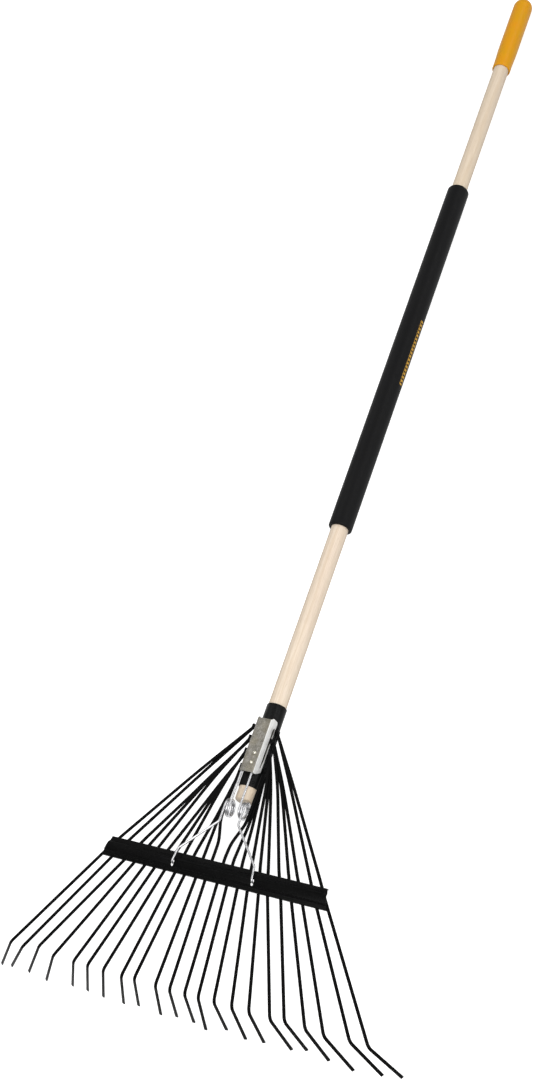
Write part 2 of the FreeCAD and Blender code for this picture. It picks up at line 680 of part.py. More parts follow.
set_on_ground(parts)
for name, shape in parts.items():
    shape.exportStep("parts/%s.step" % name)
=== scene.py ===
"""A spring-braced fan rake lying on the floor: wooden handle, 22 flat tines.

Sizes are millimetres in a design frame: +Y up the handle, +X across the fan, +Z away from
the ground, with the handle axis on x = z = 0.  The fan is at the -Y end.  world_point()
tilts and moves that frame into the scene, which is in metres.
"""

import json
import math

import bmesh
import bpy
from mathutils import Matrix, Vector, noise


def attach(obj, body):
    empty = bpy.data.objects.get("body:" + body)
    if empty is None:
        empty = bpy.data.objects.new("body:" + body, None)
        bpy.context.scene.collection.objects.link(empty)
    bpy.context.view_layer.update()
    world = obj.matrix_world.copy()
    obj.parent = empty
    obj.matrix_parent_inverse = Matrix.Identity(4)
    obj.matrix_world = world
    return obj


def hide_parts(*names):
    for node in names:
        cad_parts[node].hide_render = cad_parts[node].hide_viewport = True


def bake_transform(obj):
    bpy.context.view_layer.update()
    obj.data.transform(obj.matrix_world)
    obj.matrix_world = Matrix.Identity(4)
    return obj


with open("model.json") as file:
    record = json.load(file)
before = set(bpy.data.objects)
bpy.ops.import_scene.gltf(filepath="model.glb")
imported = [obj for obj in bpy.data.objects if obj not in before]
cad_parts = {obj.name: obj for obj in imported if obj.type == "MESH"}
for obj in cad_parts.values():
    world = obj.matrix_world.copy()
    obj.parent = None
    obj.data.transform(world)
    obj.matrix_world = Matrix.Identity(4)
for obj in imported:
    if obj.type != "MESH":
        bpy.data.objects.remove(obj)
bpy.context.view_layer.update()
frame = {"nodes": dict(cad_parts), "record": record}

# ---------------------------------------------------------------------------
# design frame, placed by the record's mount on the handle
# ---------------------------------------------------------------------------
MOUNT_Y = 1377.6           # the mount's place along the handle
mount = [m for m in frame["record"]["mounts"] if m["name"] == "handle_end"][0]
axis_y, axis_z = mount["axis"][1], mount["axis"][2]
axis_length = math.hypot(axis_y, axis_z)
COS, SIN = axis_y / axis_length, axis_z / axis_length
mount_x, mount_y, mount_z = [v * 1000.0 for v in mount["pos_m"]]
ORIGIN_X = mount_x
ORIGIN_Y = mount_y - MOUNT_Y * COS
ORIGIN_Z = mount_z - MOUNT_Y * SIN


def world_point(x, y, z):
    return Vector(((x + ORIGIN_X) / 1000.0,
                   (y * COS - z * SIN + ORIGIN_Y) / 1000.0,
                   (y * SIN + z * COS + ORIGIN_Z) / 1000.0))


def world_direction(x, y, z):
    return Vector((x, y * COS - z * SIN, y * SIN + z * COS))


# ---------------------------------------------------------------------------
# handle dimensions
# ---------------------------------------------------------------------------
WOOD_R = 12.0
WOOD_Y0, WOOD_Y1 = 17.0, 1428.0        # the full-width part of the shaft
WOOD_TIP_Y = 1431.0
BORE_R = 12.05                         # inside of the foam sleeve
GRIP_R, GRIP_Y0, GRIP_Y1 = 16.5, 416.0, 1026.6
GRIP_ROLL = 1.8                        # radius of the sleeve's rounded edge at GRIP_Y0
GRIP_ROLL_Y, GRIP_ROLL_R = 4.2, 3.9    # the same at GRIP_Y1, along and across
STRIPE_Y0, STRIPE_Y1 = 658.0, 772.0    # printed stripe on the sleeve
STRIPE_HALF = 3.1                      # half its width around the sleeve
STRIPE_DEG = 79.0                      # its middle, turned from +Z towards +X
CAP_R, CAP_NECK_R = 15.4, 14.48
CAP_MOUTH_Y, CAP_FULL_Y, CAP_DOME_Y = 1283.4, 1330.0, 1425.2
# cap mouth from the inside out: distance up from the mouth, radius
CAP_LIP = [(2.5, 12.06), (0.4, 12.15), (0.0, 12.6), (0.0, 13.7), (0.25, 14.1),
           (0.9, 14.42), (2.0, 14.5), (4.5, 14.46), (7.0, CAP_NECK_R)]

# ---------------------------------------------------------------------------
# brace wire dimensions: bight, legs, coils and hooks, for the +X half
# ---------------------------------------------------------------------------
WIRE_R = 1.4
LEG_X, LEG_Z, BIGHT_Y = 6.85, 21.6, 114.0
COIL_R, COIL_PITCH, COIL_TURNS, COIL_STEPS = 10.3, 3.0, 2.0, 104
COIL_Y, COIL_Z = 0.5, LEG_Z - COIL_R
LOW_X = LEG_X + COIL_TURNS * COIL_PITCH
KINK_Y = -21.0
SHOULDER_X, SHOULDER_Y = 51.5, -66.0
HOOK_X, HOOK_Y = 54.05, -84.4
HOOK_RISE, HOOK_END_RISE = 9.2, 2.4    # heights over the plane of the tines

# ---------------------------------------------------------------------------
# tine dimensions
# ---------------------------------------------------------------------------
TINE_W, TINE_T, TINE_EDGE_R = 4.0, 1.6, 0.42
TINES_PER_SIDE = 11
ROOT_X, ROOT_LEN = 16.7, 2.5
# four groups of roots down the socket: y and stacked heights of the roots,
# then the y down to which the group stays stacked, and its heights there
ROOT_GROUPS = [
    (109.2, [12.4, 10.65], 30.0, [14.0, 12.25]),
    (94.1, [7.6, 9.35, 11.1], 5.0, [9.9, 11.6, 13.3]),
    (76.7, [6.15, 7.9, 9.65], 5.0, [10.0, 11.7, 13.4]),
    (56.9, [3.25, 5.0, 6.75], -14.0, [7.5, 9.2, 10.9]),
]
BAR_Y, BAR_Z = -82.9, 14.5
BAR_IN_Y, BAR_IN_Z = -62.0, 14.3       # where the tines turn before the bar
PLANE_SLOPE = 0.08                     # rise of the tine plane per mm of y
BEND_R, BEND_STEPS = 9.0, 18
TIP_Y = -247.4
TIP_DROP = 50.7                        # height of tine ends at TIP_Y under the handle axis
KNOT_STEPS = 6                         # stations on each side of a rounded knot
MIN_STEP = 0.8                         # closest stations along y
# distance from the middle at MIDWAY_Y and at BAR_IN_Y, outermost tine first
MIDWAY_Y = 20.0
MIDWAY_X = [78.4, 71.5, 59.25, 55.5, 49.25, 38.05, 34.0, 30.05, 20.85]
BAR_IN_X = [133.15, 119.95, 103.25, 91.95, 79.45, 65.65, 54.85, 44.05, 31.5, 19.6, 7.5]
# across the fan from -X to +X: x at the bar, x and y of the tip bend, x and y of the end
TINES = [
    (-146.6, -234.0, -224.0, -266.5, -244.8),
    (-132.2, -216.1, -226.0, -252.0, -243.8),
    (-114.2, -194.3, -220.0, -225.6, -244.5),
    (-101.0, -171.2, -226.3, -197.9, -248.0),
    (-87.2, -142.2, -226.0, -160.4, -245.4),
    (-73.9, -122.4, -225.6, -138.2, -246.0),
    (-60.5, -100.2, -225.8, -114.8, -247.7),
    (-47.2, -74.7, -227.0, -85.7, -248.3),
    (-34.4, -57.4, -225.5, -65.6, -245.8),
    (-20.0, -28.4, -226.3, -33.8, -248.4),
    (-7.8, -9.2, -226.8, -12.9, -245.5),
    (8.4, 10.8, -226.6, 10.6, -246.2),
    (20.8, 28.7, -226.1, 28.2, -250.2),
    (34.3, 49.2, -226.1, 53.5, -243.7),
    (46.8, 72.3, -226.3, 79.9, -247.6),
    (60.9, 94.4, -226.2, 103.0, -245.4),
    (71.6, 121.5, -227.2, 138.0, -244.2),
    (88.8, 139.0, -225.0, 156.0, -240.1),
    (101.6, 165.2, -226.7, 184.8, -243.9),
    (115.2, 188.6, -228.4, 215.8, -246.7),
    (132.2, 219.4, -226.3, 249.9, -242.9),
    (146.4, 241.7, -226.5, 272.5, -238.9),
]


def plane_z(y):
    """height of the plane of the tines"""
    return BAR_Z + PLANE_SLOPE * (y - BAR_Y)


# ---------------------------------------------------------------------------
# shader helpers
# ---------------------------------------------------------------------------
def srgb(red, green, blue):
    """linear RGBA of an 8-bit sRGB colour"""
    def linear(c):
        c /= 255.0
        return c / 12.92 if c <= 0.04045 else ((c + 0.055) / 1.055) ** 2.4
    return (linear(red), linear(green), linear(blue), 1.0)


def add_node(tree, kind, inputs={}, **settings):
    """new node; inputs maps input names or numbers to values or to outputs of other nodes"""
    node = tree.nodes.new(kind)
    for key, value in settings.items():
        setattr(node, key, value)
    for key, value in inputs.items():
        if isinstance(value, bpy.types.NodeSocket):
            tree.links.new(value, node.inputs[key])
        else:
            node.inputs[key].default_value = value
    return node


def empty_tree(owner):
    owner.use_nodes = True
    owner.node_tree.nodes.clear()
    return owner.node_tree


class Shader:
    """a material under construction; its textures run along the handle, in metres"""

    def __init__(self, name):
        self.material = bpy.data.materials.new(name)
        self.tree = empty_tree(self.material)
        coords = self.node("ShaderNodeTexCoord")
        self.coords = self.node("ShaderNodeMapping", {
            "Vector": coords.outputs["Object"],
            "Location": world_point(0, 0, 0),
            "Rotation": (math.atan2(SIN, COS), 0, 0),
        }, vector_type="TEXTURE").outputs[0]

    def node(self, kind, inputs={}, **settings):
        return add_node(self.tree, kind, inputs, **settings)

    def finish(self, inputs):
        """close the material with a principled surface"""
        surface = self.node("ShaderNodeBsdfPrincipled", inputs)
        self.node("ShaderNodeOutputMaterial", {0: surface.outputs[0]})
        return self.material

    def axes(self):
        return tuple(self.node("ShaderNodeSeparateXYZ", {0: self.coords}).outputs)

    def noise(self, scale, along=None, detail=3.0, rough=0.5):
        """noise per metre; along gives a separate scale for the handle direction"""
        vector = self.coords
        if along is not None:
            vector = self.node("ShaderNodeVectorMath", {0: vector, 1: (scale, along, scale)},
                               operation="MULTIPLY").outputs[0]
            scale = 1.0
        return self.node("ShaderNodeTexNoise", {
            "Scale": scale, "Detail": detail, "Roughness": rough, "Distortion": 0.0,
            "Vector": vector}).outputs["Fac"]

    def voronoi(self, scale, output="Distance"):
        return self.node("ShaderNodeTexVoronoi",
                         {"Scale": scale, "Vector": self.coords}).outputs[output]

    def ramp(self, factor, *stops):
        """colour ramp; each stop is (position, colour)"""
        node = self.node("ShaderNodeValToRGB", {0: factor})
        elements = node.color_ramp.elements
        while len(elements) > 1:
            elements.remove(elements[-1])
        elements[0].position, elements[0].color = stops[0]
        for position, color in stops[1:]:
            elements.new(position).color = color
        return node.outputs[0]

    def gray(self, factor, *stops):
        """ramp of plain values; each stop is (position, value)"""
        return self.ramp(factor, *[(p, (v, v, v, 1)) for p, v in stops])

    def math(self, operation, *values, clamp=False):
        return self.node("ShaderNodeMath", dict(enumerate(values)),
                         operation=operation, use_clamp=clamp).outputs[0]

    def tint(self, base, color, mask, strength=None):
        """lay a colour over base where mask, times strength, is high"""
        if strength is not None:
            mask = self.math("MULTIPLY", mask, strength)
        return self.node("ShaderNodeMix", {0: mask, 6: base, 7: color},
                         data_type="RGBA", blend_type="MIX").outputs[2]

    def bump(self, height, distance, strength):
        return self.node("ShaderNodeBump", {
            "Distance": distance, "Strength": strength, "Height": height}).outputs[0]


# ---------------------------------------------------------------------------
# materials
# ---------------------------------------------------------------------------
def wood_material():
    mat = Shader("shaft_hardwood")
    x, y, z = mat.axes()
    # broad colour drift along the dowel
    base = mat.ramp(mat.noise(18, along=2.2, detail=2.0),
                    (0.30, srgb(222, 205, 182)), (0.50, srgb(230, 215, 196)),
                    (0.72, srgb(219, 200, 182)))
    # growth rings: a sine across x and z, bent by noise
    per_x, per_z, bending, frequency = 330.0, 120.0, 7.0, 2.6
    bent = mat.math("MULTIPLY", mat.noise(60, along=3.0), bending)
    phase = mat.math("ADD", mat.math("MULTIPLY", x, per_x), bent)
    phase = mat.math("ADD", phase, mat.math("MULTIPLY", z, per_z))
    wave = mat.math("SINE", mat.math("MULTIPLY", phase, frequency))
    wave = mat.math("MULTIPLY_ADD", wave, 0.5, 0.5)     # to the range 0..1
    rings = mat.gray(wave, (0.0, 1.0), (0.55, 0.15), (0.9, 0.0), (1.0, 0.35))
    base = mat.tint(base, srgb(201, 176, 143), rings, strength=0.30)
    # long fine fibres
    fibre = mat.noise(1500, along=22, detail=4.0, rough=0.62)
    base = mat.tint(base, srgb(188, 163, 131), mat.gray(fibre, (0.42, 0.0), (0.66, 1.0)),
                    strength=0.32)
    # short open pores
    pores = mat.gray(mat.noise(2600, along=95, detail=2.0), (0.60, 0.0), (0.70, 1.0))
    base = mat.tint(base, srgb(160, 130, 98), pores, strength=0.30)
    # the far half is a touch deeper in colour
    far = mat.gray(mat.math("MULTIPLY", y, 0.7), (0.25, 0.0), (0.85, 1.0))
    base = mat.tint(base, srgb(196, 178, 152), far, strength=0.35)
    # fibres stand up, pores sink in
    height = mat.math("SUBTRACT", mat.math("MULTIPLY", fibre, 0.5),
                      mat.math("MULTIPLY", pores, 0.6))
    return mat.finish({
        "Base Color": base,
        "Roughness": mat.gray(fibre, (0.3, 0.40), (0.7, 0.52)),
        "Specular IOR Level": 0.32,
        "Coat Weight": 0.10,
        "Coat Roughness": 0.35,
        "Normal": mat.bump(height, distance=0.00006, strength=0.55),
    })


def stripe_mask(mat):
    """plain printed stripe: a band of small even bars inside a border with a thin gap"""
    x, y, z = mat.axes()
    half = STRIPE_HALF / GRIP_R                         # radians
    bars_edge, gap_edge = half * 0.62, half * 0.80      # ends of the bars and of the gap
    start, stop = STRIPE_Y0 / 1000.0, STRIPE_Y1 / 1000.0
    middle, half_length = (start + stop) / 2, (stop - start) / 2
    end_border, period, bar_share = 0.0018, 0.0062, 0.52

    angle = mat.math("ARCTAN2", x, z)
    turn = mat.math("ABSOLUTE", mat.math("SUBTRACT", angle, math.radians(STRIPE_DEG)))
    run = mat.math("ABSOLUTE", mat.math("SUBTRACT", y, middle))
    inside = mat.math("MULTIPLY", mat.math("LESS_THAN", turn, half),
                      mat.math("LESS_THAN", run, half_length))
    inner = mat.math("MULTIPLY", mat.math("LESS_THAN", turn, bars_edge),
                     mat.math("LESS_THAN", run, half_length - end_border))
    bars = mat.math("LESS_THAN", mat.math("FRACT", mat.math("DIVIDE", y, period)), bar_share)
    between = mat.math("MULTIPLY", inner, mat.math("SUBTRACT", 1.0, bars))
    gap = mat.math("MULTIPLY", mat.math("GREATER_THAN", turn, bars_edge),
                   mat.math("LESS_THAN", turn, gap_edge))
    mask = mat.math("SUBTRACT", inside, between, clamp=True)
    mask = mat.math("SUBTRACT", mask, mat.math("MULTIPLY", gap, inside), clamp=True)
    worn = mat.gray(mat.noise(1400.0, detail=2.0, rough=0.6), (0.30, 0.35), (0.48, 1.0))
    return mat.math("MULTIPLY", mask, worn)


def foam_material():
    mat = Shader("grip_foam")
    cells = mat.voronoi(2100.0)
    grain = mat.noise(700.0, rough=0.6)
    base = mat.ramp(mat.noise(60, along=14), (0.3, srgb(5, 5, 6)), (0.7, srgb(9, 9, 10)))
    base = mat.tint(base, srgb(16, 16, 18), mat.gray(cells, (0.25, 0.0), (0.6, 0.35)))
    # lighter scuffs, sparse
    scuffs = mat.noise(420, along=160, detail=2.0, rough=0.7)
    base = mat.tint(base, srgb(40, 40, 42), mat.gray(scuffs, (0.70, 0.0), (0.78, 0.35)))
    base = mat.tint(base, srgb(224, 172, 66), stripe_mask(mat))
    # cells sink in, grain stands up
    height = mat.math("ADD", mat.math("MULTIPLY", cells, -0.6),
                      mat.math("MULTIPLY", grain, 0.8))
    return mat.finish({
        "Base Color": base,
        "Roughness": mat.gray(grain, (0.3, 0.46), (0.7, 0.62)),
        "Specular IOR Level": 0.15,
        "Normal": mat.bump(height, distance=0.00010, strength=0.35),
    })


def vinyl_material():
    mat = Shader("cap_vinyl")
    clouds = mat.noise(45, along=30)
    base = mat.ramp(clouds, (0.30, srgb(207, 150, 2)), (0.50, srgb(212, 148, 1)),
                    (0.70, srgb(217, 145, 0)))
    fine = mat.noise(900.0)
    base = mat.tint(base, srgb(190, 128, 6), mat.gray(fine, (0.45, 0.0), (0.75, 0.18)))
    # soft waves with a little fine grain
    height = mat.math("ADD", mat.math("MULTIPLY", mat.noise(300, along=140, detail=2.0), 1.0),
                      mat.math("MULTIPLY", fine, 0.35))
    return mat.finish({
        "Base Color": base,
        "Roughness": mat.gray(clouds, (0.3, 0.36), (0.7, 0.46)),
        "Specular IOR Level": 0.24,
        "Subsurface Weight": 0.02,
        "Subsurface Radius": (0.004, 0.002, 0.0006),
        "Normal": mat.bump(height, distance=0.00014, strength=0.5),
    })


def enamel_material(name, dark, light, roughness, specular, worn, peel_height):
    """paint; roughness is its (low, high), worn the strength of thin spots on edges"""
    mat = Shader(name)
    base = mat.ramp(mat.noise(55.0, detail=4.0, rough=0.6), (0.3, dark), (0.7, light))
    # thin spots in the paint along sharp edges
    geometry = mat.node("ShaderNodeNewGeometry")
    edges = mat.gray(geometry.outputs["Pointiness"], (0.515, 0.0), (0.60, 1.0))
    breaks = mat.gray(mat.noise(900.0, rough=0.7), (0.48, 0.0), (0.64, 1.0))
    base = mat.tint(base, srgb(78, 78, 80), mat.math("MULTIPLY", edges, breaks),
                    strength=worn)
    # orange peel with a little fine grain
    peel = mat.noise(420.0, detail=2.0)
    fine = mat.math("MULTIPLY", mat.noise(2600.0, detail=2.0), 0.25)
    return mat.finish({
        "Base Color": base,
        "Roughness": mat.gray(mat.noise(160.0), (0.3, roughness[0]), (0.7, roughness[1])),
        "Specular IOR Level": specular,
        "Normal": mat.bump(mat.math("ADD", peel, fine), distance=peel_height, strength=0.5),
    })


def zinc_material():
    mat = Shader("bracket_zinc")
    # soft spangle of a zinc coat, with clouds and streaks
    spangle = mat.node("ShaderNodeRGBToBW", {0: mat.voronoi(950.0, "Color")}).outputs[0]
    clouds = mat.noise(210.0, detail=4.0, rough=0.65)
    streaks = mat.noise(900, along=120, rough=0.6)
    tone = mat.math("ADD", mat.math("MULTIPLY", clouds, 0.45),
                    mat.math("MULTIPLY", streaks, 0.25))
    tone = mat.math("ADD", mat.math("MULTIPLY", spangle, 0.35), tone)
    base = mat.ramp(tone, (0.30, srgb(100, 96, 87)), (0.48, srgb(124, 121, 112)),
                    (0.64, srgb(142, 139, 132)), (0.82, srgb(178, 176, 170)))
    # warm and cool patches
    warm = mat.gray(mat.noise(85.0, detail=2.0), (0.42, 0.0), (0.66, 0.35))
    base = mat.tint(base, srgb(138, 130, 108), warm)
    cool = mat.gray(mat.noise(130, along=70, detail=2.0), (0.55, 0.0), (0.75, 0.25))
    base = mat.tint(base, srgb(140, 132, 142), cool)
    # painted highlight: the side walls, which face along x, get a near-white colour and less
    # metal, broken up by noise
    normal = mat.node("ShaderNodeTexCoord").outputs["Normal"]
    normal_x = mat.node("ShaderNodeSeparateXYZ", {0: normal}).outputs[0]
    side = mat.gray(mat.math("ABSOLUTE", normal_x), (0.55, 0.0), (0.80, 1.0))
    # noise that breaks up the painted highlight on the side walls
    highlight_breakup = mat.gray(mat.noise(700, along=60, rough=0.6), (0.30, 0.75), (0.70, 1.0))
    side = mat.math("MULTIPLY", side, highlight_breakup)
    base = mat.tint(base, srgb(246, 246, 244), side)
    height = mat.math("ADD", tone, mat.math("MULTIPLY", streaks, 0.4))
    # the painted highlight on the side walls also lowers the metallic value there
    metallic, side_change = 0.62, -0.50
    return mat.finish({
        "Base Color": base,
        "Metallic": mat.math("MULTIPLY_ADD", side, side_change, metallic),
        "Roughness": mat.gray(tone, (0.3, 0.50), (0.8, 0.34)),
        "Normal": mat.bump(height, distance=0.00012, strength=0.45),
    })


def bright_steel_material(name, color, roughness):
    mat = Shader(name)
    darker = tuple(c * 0.80 for c in color[:3]) + (1,)
    base = mat.ramp(mat.noise(190.0, rough=0.6), (0.35, darker), (0.7, color))
    dull = mat.noise(700.0, rough=0.7)
    base = mat.tint(base, srgb(120, 116, 108), mat.gray(dull, (0.56, 0.0), (0.72, 0.20)))
    return mat.finish({
        "Base Color": base,
        "Metallic": 1.0,
        "Roughness": mat.gray(dull, (0.35, roughness), (0.75, roughness + 0.14)),
        "Normal": mat.bump(mat.noise(1500.0, detail=2.0), distance=0.00001, strength=0.3),
    })


WOOD = wood_material()
FOAM = foam_material()
VINYL = vinyl_material()
SOCKET_ENAMEL = enamel_material(
    "socket_enamel", dark=srgb(10, 11, 11), light=srgb(16, 17, 17),
    roughness=(0.28, 0.38), specular=0.12, worn=0.12, peel_height=0.00002)
TINE_ENAMEL = enamel_material(
    "tine_enamel", dark=srgb(5, 5, 5), light=srgb(9, 9, 9),
    roughness=(0.34, 0.46), specular=0.05, worn=0.03, peel_height=0.000015)
BAR_ENAMEL = enamel_material(
    "bar_enamel", dark=srgb(4, 4, 4), light=srgb(7, 7, 7),
    roughness=(0.36, 0.46), specular=0.05, worn=0.12, peel_height=0.000015)
ZINC = zinc_material()
RIVET_PLATE = bright_steel_material("rivet_plate", color=srgb(226, 221, 205), roughness=0.20)
BRIGHT_WIRE = bright_steel_material("bright_wire", color=srgb(214, 214, 216), roughness=0.16)


# ---------------------------------------------------------------------------
# mesh helpers
# ---------------------------------------------------------------------------
def link_mesh(name, bm):
    mesh = bpy.data.meshes.new(name)
    bm.to_mesh(mesh)
    bm.free()
    ob = bpy.data.objects.new(name, mesh)
    bpy.context.scene.collection.objects.link(ob)
    return ob


def add_object(name, bm, material, smooth_deg):
    """smooth-shaded object whose edges above smooth_deg stay sharp"""
    bmesh.ops.recalc_face_normals(bm, faces=bm.faces[:])
    for face in bm.faces:
        face.smooth = True
    limit = math.radians(smooth_deg)
    for edge in bm.edges:
        edge.smooth = not (len(edge.link_faces) == 2 and edge.calc_face_angle(0.0) > limit)
    ob = link_mesh(name, bm)
    ob.data.materials.append(material)
    return ob


def register(ob, node, part):
    """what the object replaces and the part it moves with"""
    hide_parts(node)
    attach(ob, part)


def skin(name, rings, material):
    """capped skin over rings of design-frame points"""
    bm = bmesh.new()
    rows = [[bm.verts.new(world_point(*point)) for point in ring] for ring in rings]
    count = len(rows[0])
    for near, far in zip(rows, rows[1:]):
        for j in range(count):
            k = (j + 1) % count
            bm.faces.new((near[j], near[k], far[k], far[j]))
    bm.faces.new(list(reversed(rows[0])))
    bm.faces.new(rows[-1])
    return add_object(name, bm, material, smooth_deg=40.0)


def lathe(name, profile, material, segments, wobble, smooth_deg):
    """solid of revolution about the handle axis; profile is (y, radius) and closes on
    itself, wobble(radius, y, angle) gives the uneven radius and y"""
    bm = bmesh.new()
    rows = []
    for y, radius in profile:
        if radius < 1e-6:
            rows.append([bm.verts.new(world_point(0, y, 0))])
            continue
        ring = []
        for j in range(segments):
            angle = 2 * math.pi * j / segments
            r, ring_y = wobble(radius, y, angle)
            point = world_point(r * math.sin(angle), ring_y, r * math.cos(angle))
            ring.append(bm.verts.new(point))
        rows.append(ring)
    for a, b in zip(rows, rows[1:] + rows[:1]):
        if len(a) == 1 and len(b) == 1:
            continue
        for j in range(segments):
            k = (j + 1) % segments
            if len(a) == 1:
                bm.faces.new((a[0], b[k], b[j]))
            elif len(b) == 1:
                bm.faces.new((a[j], a[k], b[0]))
            else:
                bm.faces.new((a[j], a[k], b[k], b[j]))
    return add_object(name, bm, material, smooth_deg)


def quarter(y, radius, size_y, size_r, start_deg, steps):
    """quarter ellipse of profile points about (y, radius)"""
    angles = [math.radians(start_deg + 90 * i / steps) for i in range(steps + 1)]
    return [(y + size_y * math.sin(a), radius + size_r * math.cos(a)) for a in angles]


def skin_noise(angle, y, around, along, shift=0.0):
    """smooth noise on the surface of a turned piece"""
    return noise.noise(Vector((math.sin(angle) * around, y * along,
                               math.cos(angle) * around + shift)))


def tangent(points, i):
    if i == 0:
        direction = points[1] - points[0]
    elif i == len(points) - 1:
        direction = points[i] - points[i - 1]
    else:
        direction = ((points[i + 1] - points[i]).normalized()
                     + (points[i] - points[i - 1]).normalized())
    return direction.normalized()


def refine(name, node, material, bevel):
    """the CAD node's own shape with merged corners and softened edges; bevel in mm"""
    bm = bmesh.new()
    bm.from_mesh(frame["nodes"][node].data)
    bmesh.ops.remove_doubles(bm, verts=bm.verts[:], dist=2e-6)
    bmesh.ops.dissolve_limit(bm, angle_limit=math.radians(0.6), verts=bm.verts[:],
                             edges=bm.edges[:])
    sharp = [edge for edge in bm.edges
             if len(edge.link_faces) == 2 and edge.calc_face_angle(0.0) > math.radians(28.0)]
    bmesh.ops.bevel(bm, geom=sharp, offset=bevel / 1000.0, offset_type="OFFSET", segments=2,
                    profile=0.5, affect="EDGES", clamp_overlap=True)
    for face in bm.faces:
        face.material_index = 0
    return add_object(name, bm, material, smooth_deg=38.0)


# ---------------------------------------------------------------------------
# handle
# ---------------------------------------------------------------------------
def build_shaft():
    # chamfered end in the socket, long dowel, chamfered end in the cap
    profile = [(15.0, 0.0), (15.0, 10.2), (15.25, 10.7), (16.5, 11.85)]
    profile += [(WOOD_Y0 + (WOOD_Y1 - WOOD_Y0) * i / 60.0, WOOD_R) for i in range(61)]
    profile += [(WOOD_TIP_Y, 9.0), (WOOD_TIP_Y, 0.0)]

    def wobble(radius, y, angle):
        # the turned dowel is a hair out of round
        if radius < 11.9 or y > 1425:
            return radius, y
        return radius - 0.03 + 0.03 * skin_noise(angle, y, around=0.6, along=0.006), y

    ob = lathe("shaft", profile, WOOD, segments=96, wobble=wobble, smooth_deg=35.0)
    register(ob, "handle_shaft", "handle")


def build_foam_sleeve():
    # soft rolled ends
    body_y0 = GRIP_Y0 + GRIP_ROLL
    body_length = GRIP_Y1 - GRIP_Y0 - 6.2
    profile = [(GRIP_Y0, BORE_R), (GRIP_Y0, 14.2)]
    profile += quarter(body_y0, GRIP_R - GRIP_ROLL, GRIP_ROLL, GRIP_ROLL, -90, 8)
    profile += [(body_y0 + body_length * i / 90.0, GRIP_R) for i in range(1, 90)]
    profile += quarter(GRIP_Y1 - GRIP_ROLL_Y, GRIP_R - GRIP_ROLL_R,
                       GRIP_ROLL_Y, GRIP_ROLL_R, 0, 10)
    profile += [(GRIP_Y1 - 0.3, BORE_R)]

    def wobble(radius, y, angle):
        # a very slight unevenness of the skin
        if radius < 14.5:
            return radius, y
        broad = skin_noise(angle, y, around=0.9, along=0.018, shift=7.0)
        fine = skin_noise(angle, y, around=3.0, along=0.10, shift=3.0)
        return radius - 0.10 + 0.10 * broad + 0.04 * fine, y

    ob = lathe("foam_sleeve", profile, FOAM, segments=112, wobble=wobble, smooth_deg=60.0)
    register(ob, "foam_grip", "handle")


def build_cap():
    # thin rolled lip at the mouth, widening neck, straight body, domed end
    profile = [(1430.8, 0.0), (1430.8, 11.2)]
    profile += [(CAP_MOUTH_Y + up, radius) for up, radius in CAP_LIP]
    neck_y = CAP_MOUTH_Y + CAP_LIP[-1][0]
    for i in range(1, 15):
        t = i / 14.0
        profile.append((neck_y + (CAP_FULL_Y - neck_y) * t,
                        CAP_NECK_R + (CAP_R - CAP_NECK_R) * (t * t * (3 - 2 * t))))
    profile += [(CAP_FULL_Y + (CAP_DOME_Y - CAP_FULL_Y) * i / 24.0, CAP_R)
                for i in range(1, 25)]
    profile += quarter(CAP_DOME_Y, 0.0, CAP_R, CAP_R, 0, 18)[1:-1]
    profile.append((CAP_DOME_Y + CAP_R, 0.0))

    def wobble(radius, y, angle):
        # uneven skin, and a wavy edge that fades out above the mouth
        if radius < 12.7:
            return radius, y
        skin_wave = skin_noise(angle, y, around=1.2, along=0.03, shift=20.0)
        edge_wave = skin_noise(angle, y, around=1.6, along=0.0, shift=31.0)
        lip = max(0.0, 1.0 - (y - CAP_MOUTH_Y) / 6.0)
        return radius - 0.05 + 0.05 * skin_wave, y + lip * (0.25 + 0.25 * edge_wave)

    ob = lathe("vinyl_cap", profile, VINYL, segments=112, wobble=wobble, smooth_deg=50.0)
    register(ob, "end_cap", "handle")


# ---------------------------------------------------------------------------
# brace wire: two mirrored halves that meet at the middle of the bight
# ---------------------------------------------------------------------------
def corner(before, at, after, radius, steps):
    """points of a circular arc that rounds the corner"""
    to_before = (before - at).normalized()
    to_after = (after - at).normalized()
    angle = math.acos(max(-1, min(1, to_before.dot(to_after))))
    setback = radius / math.tan(angle / 2)
    center = at + (to_before + to_after).normalized() * (radius / math.sin(angle / 2))
    axis_1 = (at + to_before * setback - center).normalized()
    axis_2 = at + to_after * setback - center
    axis_2 = (axis_2 - axis_1 * axis_2.dot(axis_1)).normalized()
    turns = [(math.pi - angle) * i / steps for i in range(steps + 1)]
    return [center + axis_1 * (radius * math.cos(a)) + axis_2 * (radius * math.sin(a))
            for a in turns]


def straight(start, end, step=6.0):
    """points between start and end, without either"""
    count = max(1, int((end - start).length / step))
    return [start + (end - start) * (i / count) for i in range(1, count)]


def wire_rings(points, sides=18):
    """rings of round wire along the points, without twist; the last end is rounded"""
    across = Vector((0, 0, 1))      # the wire starts along x
    rings = []

    def add_ring(point, scale):
        radius = WIRE_R * scale
        angles = [2 * math.pi * j / sides for j in range(sides)]
        rings.append([point + across * (radius * math.cos(a)) + other * (radius * math.sin(a))
                      for a in angles])

    for i, point in enumerate(points):
        along = tangent(points, i)
        across = (across - along * across.dot(along)).normalized()
        other = along.cross(across)
        if i < len(points) - 1:
            add_ring(point, 1.0)
    for back, scale in ((0.35, 1.0), (0.12, 0.92), (0.0, 0.72)):
        add_ring(points[-1] - along * back, scale)
    return rings


